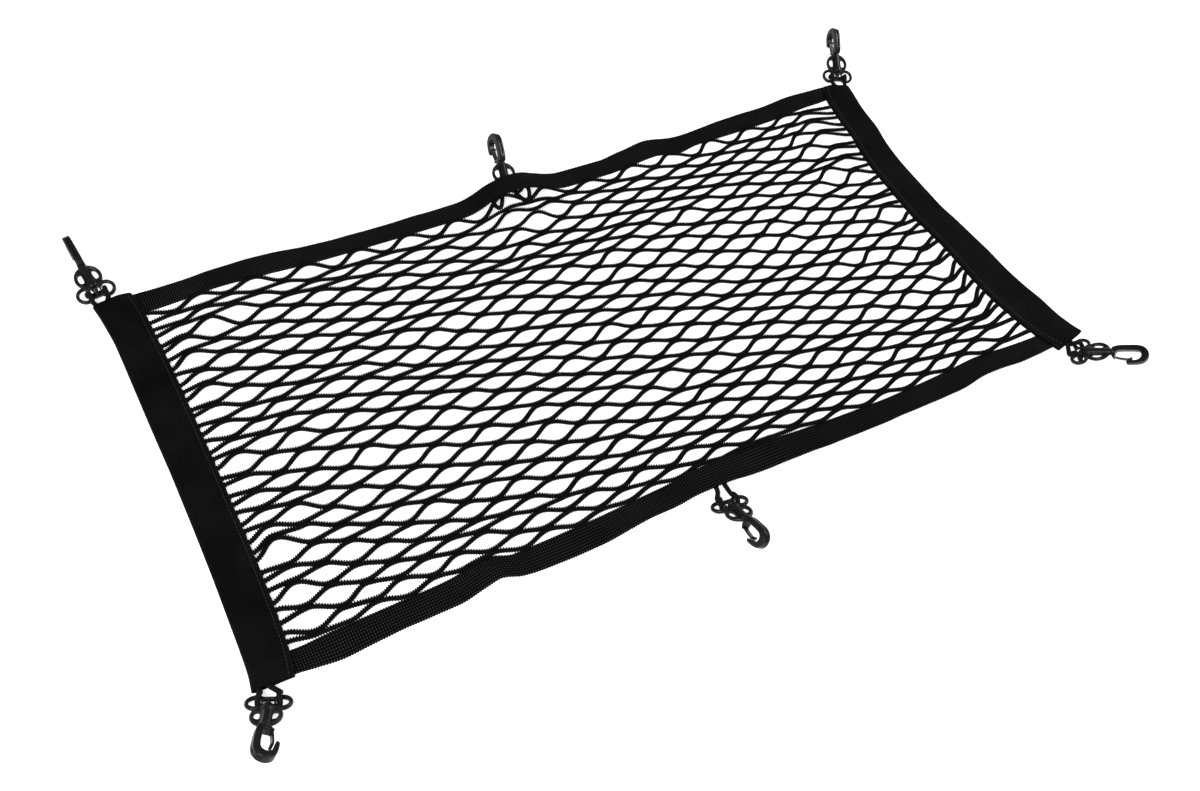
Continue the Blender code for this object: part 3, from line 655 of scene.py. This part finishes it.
def band_mesh(table, skew):
    """A folded ply: flat underside, round fold, and an upper ply fine near its edge."""
    points, over = [], []
    for y in np.linspace(table[0][0], table[-1][0], BAND_RINGS):
        outer, toward, width, high, run = band_frame(table, skew, y)
        fray = 0.18 * math.sin(3.1 * y) + 0.12 * math.sin(7.7 * y)
        radius = high / 2
        under = np.linspace(width + fray, radius, 10)
        fold = np.linspace(-math.pi / 2, math.pi / 2, 11)[1:-1]
        upper = np.concatenate([np.linspace(radius, width - 9, 22),
                                np.linspace(width - 8.6, width, 26)])
        top = band_top(y, upper, width, high)
        section = []
        for ply in (0.0, PLY):
            bend = radius - ply
            section.append([(u, ply) for u in under]
                           + [(radius - bend * math.cos(a), radius + bend * math.sin(a))
                              for a in fold]
                           + list(zip(upper + fray * (upper > width - 1), top - ply)))
        for across, z in section[0] + section[1][::-1]:
            points.append((outer + toward * across, y + run * across / width, z))
            over.append(across / width)
    half = len(section[0])
    faces = tube_faces(BAND_RINGS, 2 * half)[:-2]
    last = (BAND_RINGS - 1) * 2 * half
    for i in range(half - 1):
        quad = [i, i + 1, 2 * half - 2 - i, 2 * half - 1 - i]
        faces += [quad, [last + k for k in quad]]
    return make_mesh(points, faces, over=over)


# %% Sew along the open edge
THREAD_RADIUS = 0.34
STITCH_HALF = 1.35
STITCH_RINGS, THREAD_SIDES = 7, 6


def stitch_mesh(table, skew):
    """Raised dashes of thread that sit in the seam's groove."""
    points, faces = [], []
    turn = TURN * np.arange(THREAD_SIDES) / THREAD_SIDES
    for y in np.arange(table[0][0] + 3.0, table[-1][0] - 2.0, STITCH_STEP):
        faces_from = len(points)
        for share in np.linspace(-1, 1, STITCH_RINGS):
            at = y + STITCH_HALF * share
            outer, toward, width, high, run = band_frame(table, skew, at)
            across = width - SEAM_IN
            x = outer + toward * across
            z = band_top(at, across, width, high) + 0.26 - 0.3 * share ** 4
            thick = THREAD_RADIUS * math.sqrt(max(1 - share ** 6, 0.05))
            points += [(x + thick * math.cos(a), at + run * across / width,
                        z + thick * math.sin(a)) for a in turn]
        faces += tube_faces(STITCH_RINGS, THREAD_SIDES, faces_from)
    return make_mesh(points, faces)


# %% [markdown]
# ### Band and thread finish
# The twill's slanted lines are less than a millimetre apart, too fine for the mesh, so
# they are bump. The cloth is a flat black that turns a little greyer along the fold and
# the cut edges, where it rubs. The thread is a shade lighter and smoother than the cloth.

# %% Mix the band and thread finishes
TWILL_STEP, WEFT_STEP = 0.0011, 0.0008      # metres
band_finish = Board("end_band_twill", Specular_IOR_Level=0.05)
right_part = band_finish.node("ShaderNodeSeparateXYZ", {}, {"Vector": band_finish.place()}, "X")
back_part = Wire(band_finish, right_part.socket.node.outputs["Y"])
twill = ((right_part + back_part) * (TURN / TWILL_STEP)).sine()
thread_rows = (back_part * (TURN / WEFT_STEP)).sine()
over = band_finish.measure("over")
edge = ((over - 0.5).size() * 2.0) ** 14.0
cloth_noise = band_finish.noise(26.0)
fibre = band_finish.noise(1700.0, 4.0)
band_finish.tint((twill * 0.16 + edge * 0.35 + cloth_noise * 0.9 + fibre * 0.5 - 0.4).limited(),
                 0.0004, 0.0095)
band_finish.rough(0.58 + fibre * 0.22 + cloth_noise * 0.08)
band_finish.raise_by(twill * 0.6 + thread_rows * 0.25 + fibre * 0.5, 0.00018, 0.8)

thread_finish = Board("seam_thread", Specular_IOR_Level=0.3)
ply = thread_finish.noise(2600.0, 3.0)
thread_finish.tint(ply.limited(), 0.006, 0.03)
thread_finish.rough(0.42 + ply * 0.25)
thread_finish.raise_by(ply, 0.0002)

# %% Add the bands with their thread
for side, table, skew in (("left", LEFT_BAND, LEFT_SKEW), ("right", RIGHT_BAND, RIGHT_SKEW)):
    band = add_piece("folded_band_" + side, band_mesh(table, skew), band_finish,
                     ["band_" + side])
    thread = add_piece("seam_thread_" + side, stitch_mesh(table, skew), thread_finish,
                       [])

# %% [markdown]
# ## The hooks
# A hook is three mouldings. The base is a thin clover: a bar with two lobes for the
# cord, a ring with two open bows, and a barrel down its middle. The hook turns in that
# barrel on a shank, and a spring leaf, the gate, closes its mouth. Six separate models
# would repeat the same work, so each moulding is made once, in the hook's own axes, and
# copied to six seats, which were fitted to the photograph one by one.

# %% Where the hooks lie, in millimetres and degrees
# name, then the cord bar's middle x, y, z, heading, rise, and the hook's turn on its shank
HOOKS = [
    ("bl", -417.8, 209.8, 7.4, 97.3, 15.6, -4),
    ("bm", -20, 190.4, 7.4, 77.6, 18.3, 26),
    ("br", 411.3, 208.3, 7.4, 65, 22.4, 16.5),
    ("fl", -414.6, -214.4, 7.6, 245.4, 33, 66),
    ("fm", -11.9, -217.8, 7.5, 264.8, 29.5, -31.5),
    ("fr", 402, -219.9, 7.4, 309, 31, -62),
]


def seat_of(x, y, z, heading, rise):
    """Matrix from a hook's own axes (along, left, up, in metres) to the frame."""
    middle = Vector((x + SHIFT[0], y + SHIFT[1], z)) * MM
    return (Matrix.Translation(middle) @ Matrix.Rotation(math.radians(heading), 4, "Z")
            @ Matrix.Rotation(math.radians(-rise), 4, "Y"))


# %% Helpers for moulded parts
def loose_mesh(points, faces):
    """Mesh in a hook's own axes: the shared shift is left out."""
    return make_mesh(np.array(points) - SHIFT, faces)


def around(count):
    """Angles of even points round a circle."""
    return [TURN * k / count for k in range(count)]


def disc(u, v, radius, sides=40):
    """Outline of a circle."""
    return [(u + radius * math.cos(a), v + radius * math.sin(a)) for a in around(sides)]


def plate(outline, low, high):
    """Solid with straight sides between two levels."""
    count = len(outline)
    points = [(u, v, level) for level in (low, high) for u, v in outline]
    faces = [list(range(count)), list(range(2 * count - 1, count - 1, -1))]
    faces += [[i, (i + 1) % count, count + (i + 1) % count, count + i] for i in range(count)]
    return loose_mesh(points, faces)


def turned(profile, sides=40):
    """Solid of revolution about the hook's axis from (along, radius) pairs."""
    points = [(u, r * math.cos(a), r * math.sin(a)) for u, r in profile for a in around(sides)]
    return loose_mesh(points, tube_faces(len(profile), sides))


def ring_solid(u, v, major, thin, tall, steps=64, sides=16):
    """Closed ring with an oval section."""
    points = []
    for a in around(steps):
        for b in around(sides):
            away = major + thin * math.cos(b)
            points.append((u + away * math.cos(a), v + away * math.sin(a), tall * math.sin(b)))
    last = (steps - 1) * sides
    faces = tube_faces(steps, sides)[:-2]
    faces += [[last + k, last + (k + 1) % sides, (k + 1) % sides, k] for k in range(sides)]
    return loose_mesh(points, faces)


def eased(outline, times):
    """Cuts the corners of a closed outline, which rounds them."""
    for _ in range(times):
        ahead = outline[1:] + outline[:1]
        outline = [(near * a + far * c, near * b + far * d)
                   for (a, b), (c, d) in zip(outline, ahead)
                   for near, far in ((0.8, 0.2), (0.2, 0.8))]
    return outline


# %% Work on solids with modifiers
def worked(mesh, *steps):
    """The mesh as modifiers leave it; a step is a modifier's kind and its settings."""
    body = put("work", mesh)
    for kind, settings in steps:
        modifier = body.modifiers.new(kind, kind)
        for key, value in settings.items():
            setattr(modifier, key, value)
    graph = bpy.context.evaluated_depsgraph_get()
    graph.update()
    made = bpy.data.meshes.new_from_object(body.evaluated_get(graph))
    bpy.data.objects.remove(body, do_unlink=True)
    return made


def combine(first, others, operation):
    """Boolean of one mesh with several."""
    tools = [put("tool", mesh) for mesh in others]
    common = {"operation": operation, "solver": "EXACT"}
    made = worked(first, *[("BOOLEAN", {**common, "object": tool}) for tool in tools])
    for tool in tools:
        bpy.data.objects.remove(tool, do_unlink=True)
    return made


def rounded_rim(mesh, width):
    """The solid with its sharp rims bevelled round."""
    return worked(mesh, ("BEVEL", {"width": width * MM, "segments": 3, "limit_method": "ANGLE",
                                   "angle_limit": math.radians(55),
                                   "use_clamp_overlap": False}))


def soften(mesh, voxel, share):
    """Melts a sharp solid into one moulded skin with small fillets."""
    made = worked(mesh, ("REMESH", {"mode": "VOXEL", "voxel_size": voxel * MM}),
                  ("SMOOTH", {"factor": 0.5, "iterations": 3}), ("DECIMATE", {"ratio": share}))
    made.polygons.foreach_set("use_smooth", [True] * len(made.polygons))
    return made


def mark_wear_and_sheen(mesh, full):
    """Stores how sharply each point's edges turn outwards, for wear and a painted highlight; full
    degrees count as 1.
    """
    work = bmesh.new()
    work.from_mesh(mesh)
    wear_and_sheen = []
    for point in work.verts:
        bend = max((edge.calc_face_angle_signed(0.0) for edge in point.link_edges), default=0.0)
        wear_and_sheen.append(min(max(math.degrees(bend) / full, 0.0), 1.0))
    work.free()
    store(mesh, "wear_and_sheen", wear_and_sheen)
    return mesh


# %% [markdown]
# ### The swivel base
# Its rings are 4 mm thick, the plate between them a little less, and every edge is rounded
# by the mould. Bevelling the result of many cuts is fragile, so the sharp solid is built
# first, and then a voxel remesh and a short smoothing turn its edges into small fillets.

# %% Mould the base once
LOBE_AT, HOLE_AT = 9.3, 9.8     # off the middle line: each lobe, and its hole for the cord
RING_AT = 15.5                  # along the axis, from the bar
RING_TALL = 1.95                # half the thickness of the rings
THROUGH, DEEP = 6, 8            # half the depth of a cut
BARREL = [(4, 3.6), (4.6, 4.5), (6, 4.9), (9.6, 4.9), (10.6, 4.3), (12, 3.9), (27.7, 3.8)]
NECK = [(-5.6, -8), (-4.6, -8.8), (8, -7.6), (8, 7.6), (-4.6, 8.8), (-5.6, 8)]
BOW = [(11.4, 4.7), (20.6, 4.4), (19.6, 7.8), (15.4, 9), (11.6, 8)]
WINDOW = [(-3.4, -4), (3, -4), (4.4, -3.2), (4.4, 3.2), (3, 4), (-3.4, 4)]

adds = [ring_solid(0.0, v, 6.6, 1.7, RING_TALL) for v in (LOBE_AT, -LOBE_AT)]
adds += [ring_solid(RING_AT, 0.0, 10.3, 1.75, RING_TALL),
         plate(disc(RING_AT, 0.0, 10.0), -1.3, 1.3), turned(BARREL)]
cuts = [disc(0.0, HOLE_AT, 4.7), disc(0.0, -HOLE_AT, 4.7),
        eased(BOW, 2), eased([(u, -v) for u, v in BOW[::-1]], 2)]
holes = [plate(outline, -THROUGH, THROUGH) for outline in cuts]
holes += [plate(WINDOW, -DEEP, DEEP), turned([(3.0, 2.3), (30.0, 2.3)])]
base_sharp = combine(combine(plate(NECK, -1.7, 1.7), adds, "UNION"), holes, "DIFFERENCE")
base_mesh = mark_wear_and_sheen(soften(base_sharp, voxel=0.36, share=0.35), full=16.0)
print("base", len(base_mesh.polygons), "faces")

# %% [markdown]
# ### The hook and its gate
# Seen from the side the hook is a web, a spine that runs over the open mouth and a round
# nose that ends in a blunt arm. A swept bar would keep one section all round, but the
# real one changes from web to bar, so the side outline is cut out as a plate. Its rims are
# bevelled round, and a shallow groove is cut along the spine. The shank that turns in the
# base, and the shoulder that stops it at the barrel's mouth, are round and are joined on
# before the same remesh melts all of it into one skin. The gate is a thin leaf with an
# upturned end.

# %% Mould the hook once
HOOK_OUTLINE = [
    (28, 3.8), (31.4, 5.4), (36, 6.2), (50.5, 6.4), (56.4, 5.2), (60.6, 1.6), (62, -3.1),
    (60.8, -7.8), (57.4, -11.2), (52.6, -12.6), (45.6, -13), (42.2, -12.8), (41.8, -10.2),
    (43.6, -9.4), (51.6, -8.9), (54.4, -6.8), (55.4, -3.8), (54.3, -0.8), (51.2, 0.8),
    (34, 0.8), (31.9, -0.8), (31.6, -5.6), (31.2, -8.2), (28, -4.6)]
SHANK = [(-1.8, 0.6), (-1.5, 1.3), (2.6, 2.9), (3.4, 2.9), (3.7, 1.95), (29.6, 1.95)]
SHOULDER = [(28.1, 3.3), (28.5, 3.9), (30.4, 3.8), (31.5, 3.2)]
GROOVE = [(35, 7.5), (35, 5.2), (50, 5.4), (57.5, 3.2), (60, 7.5)]

hook_body = rounded_rim(plate(eased(HOOK_OUTLINE, 2), -3.4, 3.4), 1.0)
rounds = [turned(SHANK, 32), turned(SHOULDER, 28)]
for mesh in rounds:
    mesh.transform(Matrix.Rotation(math.radians(-90), 4, "X"))
groove = plate(eased(GROOVE, 1), -0.75, 0.75)
hook_sharp = combine(combine(hook_body, rounds, "UNION"), [groove], "DIFFERENCE")
hook_mesh = mark_wear_and_sheen(soften(hook_sharp, voxel=0.3, share=0.22), full=20.0)
print("hook", len(hook_mesh.polygons), "faces")

# %% Mould the gate once
GATE_OUTLINE = [
    (32.2, -5.4), (36.4, -6.3), (41.2, -7), (45, -7.2), (46.2, -5.9), (47.2, -6.2),
    (47.2, -8.3), (45, -8.9), (41, -8.6), (36.2, -7.8), (32.2, -7)]
gate_sharp = plate(GATE_OUTLINE, -2.4, 2.4)
gate_mesh = mark_wear_and_sheen(soften(gate_sharp, voxel=0.2, share=0.2), full=20.0)
print("gate", len(gate_mesh.polygons), "faces")

# %% [markdown]
# ### Moulded plastic
# Acetal hooks are black with a satin skin: smooth enough for a soft highlight, with a
# fine grain from the mould, faint flow marks, and edges that have rubbed shinier. Those
# sharp outward edges are also tinted lighter: partly rubbed wear, partly a painted
# highlight where the rounded rims catch the light. One even gloss would look like paint,
# so noise moves it a little. Base, hook and gate get the same recipe with slightly
# different numbers, because they come from different moulds.

# %% Mix the plastic finishes
def plastic(name, dark, light, gloss):
    """Satin plastic, shinier where its edges are rubbed, and lighter there by wear and a painted
    highlight.
    """
    finish = Board(name, Specular_IOR_Level=0.2)
    wear_and_sheen = finish.measure("wear_and_sheen")
    flow = finish.noise(90.0)
    grain = finish.noise(2400.0, 2.0)
    # Sharp outward edges are tinted lighter: partly wear, partly a painted highlight.
    finish.tint((wear_and_sheen * 0.7 + flow * 0.35 + grain * 0.15 - 0.1).limited(), dark, light)
    finish.rough(gloss + flow * 0.14 + grain * 0.08 - wear_and_sheen * 0.1)
    finish.raise_by(grain + flow * 0.8, 0.00008, 0.3)
    return finish


# The lighter colour of each finish goes on the edges: wear and a painted highlight.
base_finish = plastic("base_moulding", 0.0006, (0.016, 0.016, 0.015), 0.27)
hook_finish = plastic("hook_moulding", 0.0006, (0.018, 0.018, 0.017), 0.24)
gate_finish = plastic("gate_moulding", 0.0009, (0.022, 0.022, 0.021), 0.26)

# %% Set the six hooks
for name, *bar, swivel in HOOKS:
    seat = seat_of(*bar)
    spin = seat @ Matrix.Rotation(math.radians(90 + swivel), 4, "X")
    hook, gate = "hook_" + name, "gate_" + name
    add_piece("clover_base_" + name, base_mesh, base_finish, ["base_" + name],
              place=seat)
    add_piece("snap_hook_" + name, hook_mesh, hook_finish, [hook], hook, spin)
    add_piece("spring_gate_" + name, gate_mesh, gate_finish, [gate], gate, spin)

# %% [markdown]
# ## The cord loops
# Each hook hangs on a short loop of braided cord. It comes out of the band's mouth or
# the tape, passes over the base's bar, dives through one lobe, runs behind and comes
# back through the other. A bevelled curve would be smooth, but a braid is two sets of
# strands that wind both ways, so this tube's radius swells where two strands cross, and
# the finish adds the fine yarns.

# %% Where each loop leaves the cloth
LOOP_RADIUS = 2.15
# over the bar, down through the left lobe and below it, in the hook's own axes
LOBE_PASS = [(-8.8, 7.2, 2.9), (-5.4, 7, 5.2), (-1.2, 7.5, 4.4), (0.3, 7.9, -0.6),
             (0.3, 5.8, -4.8)]
# both legs of each loop on the plan, from the cloth to the base
LOOP_LEGS = {
    "bl": [[(-420, 187, 3.6), (-420.6, 196.2, 3.6), (-422, 198.8, 3.9)],
           [(-412.6, 187, 3.6), (-412.4, 197.6, 3.6), (-411.2, 200.6, 3.8)]],
    "br": [[(403.8, 182, 3.6), (403.4, 196.8, 3.6), (402.4, 200.2, 4.2)],
           [(410.8, 182, 3.6), (412, 192.4, 3.6), (413.4, 194.8, 4.2)]],
    "fl": [[(-410.6, -187, 3.6), (-409.6, -199.4, 3.6), (-407.4, -204, 3.8)],
           [(-416.8, -187, 3.6), (-417, -200.2, 3.6)]],
    "fr": [[(405.2, -188, 3.6), (404.8, -203.6, 3.6), (403.8, -206.4, 3.9)],
           [(400.2, -188, 3.6), (399.6, -204.4, 3.6), (396, -210.6, 4)]],
    "bm": [[(-42, 184, 10.2), (-42, 176.6, 7.4), (-39.4, 171.8, 3.8),
            (-35.6, 171.8, 3.4), (-32.4, 176, 4.8)],
           [(-2, 184, 12.8), (-2.4, 176.4, 8.8), (-4.8, 170.8, 4),
            (-8.6, 168.8, 3.4), (-11.6, 172.8, 4.8)]],
    "fm": [[(-2.4, -181, 2.8), (-2.9, -199.4, 2.8)],
           [(-10.6, -181, 2.8), (-11.8, -199.2, 2.8)]],
}


# %% Braid a loop
LAY = 7.5               # length over which a strand winds once round
HALF_STRANDS = 2.5      # half the strands that wind each way


def rounded_route(points, pieces):
    """Catmull-Rom curve through the points."""
    points = [np.array(p, float) for p in points]
    path = []
    for i in range(len(points) - 1):
        p0, p1, p2, p3 = (points[min(max(i + k, 0), len(points) - 1)] for k in (-1, 0, 1, 2))
        path += [cubic(k / pieces, p1, (p2 - p0) / 2, p2, (p3 - p1) / 2) for k in range(pieces)]
    return np.array(path + [points[-1]])


def braid_mesh(route, radius, step=0.45, sides=20):
    """Tube along a route whose radius swells where strands cross, and its length."""
    path = rounded_route(route, 24)
    gone = np.concatenate([[0.0], np.cumsum(np.linalg.norm(np.diff(path, axis=0), axis=1))])
    even = np.linspace(0, gone[-1], int(gone[-1] / step))
    path = np.stack([np.interp(even, gone, path[:, k]) for k in range(3)], -1)
    ahead = np.gradient(path, axis=0)
    ahead /= np.linalg.norm(ahead, axis=1)[:, None]
    side = np.cross(ahead[0], (0, 0, 1.0))
    turn = TURN * np.arange(sides) / sides
    points = []
    for p, a, s in zip(path, ahead, even):
        side = side - a * (side @ a)
        side /= np.linalg.norm(side)
        rise = np.cross(a, side)
        wind = HALF_STRANDS * (TURN * s / LAY)
        strands = sum(np.abs(np.cos(HALF_STRANDS * turn + way)) for way in (wind, -wind))
        r = radius * (0.90 + 0.07 * strands)
        points += list(p + np.outer(r * np.cos(turn), side) + np.outer(r * np.sin(turn), rise))
    faces = tube_faces(len(path), sides)
    return make_mesh(points, faces, gone=np.repeat(even, sides)), even[-1]


# %% Tie the hooks on
PICK = 0.75             # length of one crossing of the braid
loop_finish = Board("loop_braid", Specular_IOR_Level=0.08)
yarn = loop_finish.noise(2100.0, 4.0)
pick = (loop_finish.measure("gone") * (TURN / PICK)).sine()
loop_finish.tint((yarn * 0.6 + pick * 0.12 + 0.1).limited(), 0.0025, 0.014)
loop_finish.rough(0.6 + yarn * 0.25)
loop_finish.raise_by(yarn + pick * 0.3, 0.0003, 0.8)


def on_plan(seat, points):
    """Points of a hook's own axes as millimetres on the plan."""
    return [1000 * (seat @ (Vector(p) * MM)) - Vector(SHIFT) for p in points]


for name, *bar, _ in HOOKS:
    seat = seat_of(*bar)
    first, second = LOOP_LEGS[name]
    route = (first + on_plan(seat, LOBE_PASS)
             + on_plan(seat, [(u, -v, w) for u, v, w in LOBE_PASS[::-1]]) + second[::-1])
    mesh, length = braid_mesh(route, LOOP_RADIUS)
    add_piece("braided_loop_" + name, mesh, loop_finish, ["loop_" + name])
    print("loop", name, round(length), "mm")

# %% [markdown]
# ## Floor and light
# The photograph is a catalogue shot: a white sheet, lit until it has no tone left, and
# light from all round, so that the black net has almost no shadow. A lamp alone would
# cast hard shadows. A pale floor that glows a little under an even white sky casts almost
# none, and two soft panels, hung where no flat moulded face mirrors them into the camera,
# draw thin highlights on the plastic's edges.

# %% Lay the floor and hang the lights
HALF = 6.0              # metres from the middle to an edge of the floor
LEVEL = -0.0002
SKY_STRENGTH = 0.28

corners = [(-HALF, -HALF), (HALF, -HALF), (HALF, HALF), (-HALF, HALF)]
floor_mesh = bpy.data.meshes.new("floor")
floor_mesh.from_pydata([(x, y, LEVEL) for x, y in corners], [], [(0, 1, 2, 3)])
floor = put("floor", floor_mesh)
floor_finish = Board("white_sweep", Specular_IOR_Level=0.1, Emission_Color=(1, 1, 1, 1),
                     Emission_Strength=0.7)
floor_finish.tint(floor_finish.noise(0.8).limited(), 0.90, 0.93)
floor_finish.rough(0.85 + floor_finish.noise(3.0) * 0.1)
floor_mesh.materials.append(floor_finish.material)

sky = bpy.data.worlds.new("white_room")
sky.use_nodes = True
background = sky.node_tree.nodes["Background"].inputs
background["Color"].default_value = (1.0, 1.0, 1.0, 1.0)
background["Strength"].default_value = SKY_STRENGTH
bpy.context.scene.world = sky
bpy.context.scene.view_settings.view_transform = "Standard"


def hang_panel(name, place, aim, size, power):
    """Square soft light at a place in metres, turned towards its aim."""
    light = bpy.data.lights.new(name, "AREA")
    light.shape = "SQUARE"
    light.size = size
    light.energy = power
    panel = put(name, light)
    panel.location = place
    panel.rotation_euler = (Vector(aim) - Vector(place)).to_track_quat("-Z", "Y").to_euler()
    print(name, power, "W")


hang_panel("key_panel", (-1.3, -0.9, 1.6), (0.0, 0.0, 0.0), 0.8, 40.0)
hang_panel("spine_panel", (2.0, 0.15, 1.3), (0.0, 0.1, 0.0), 0.6, 26.0)
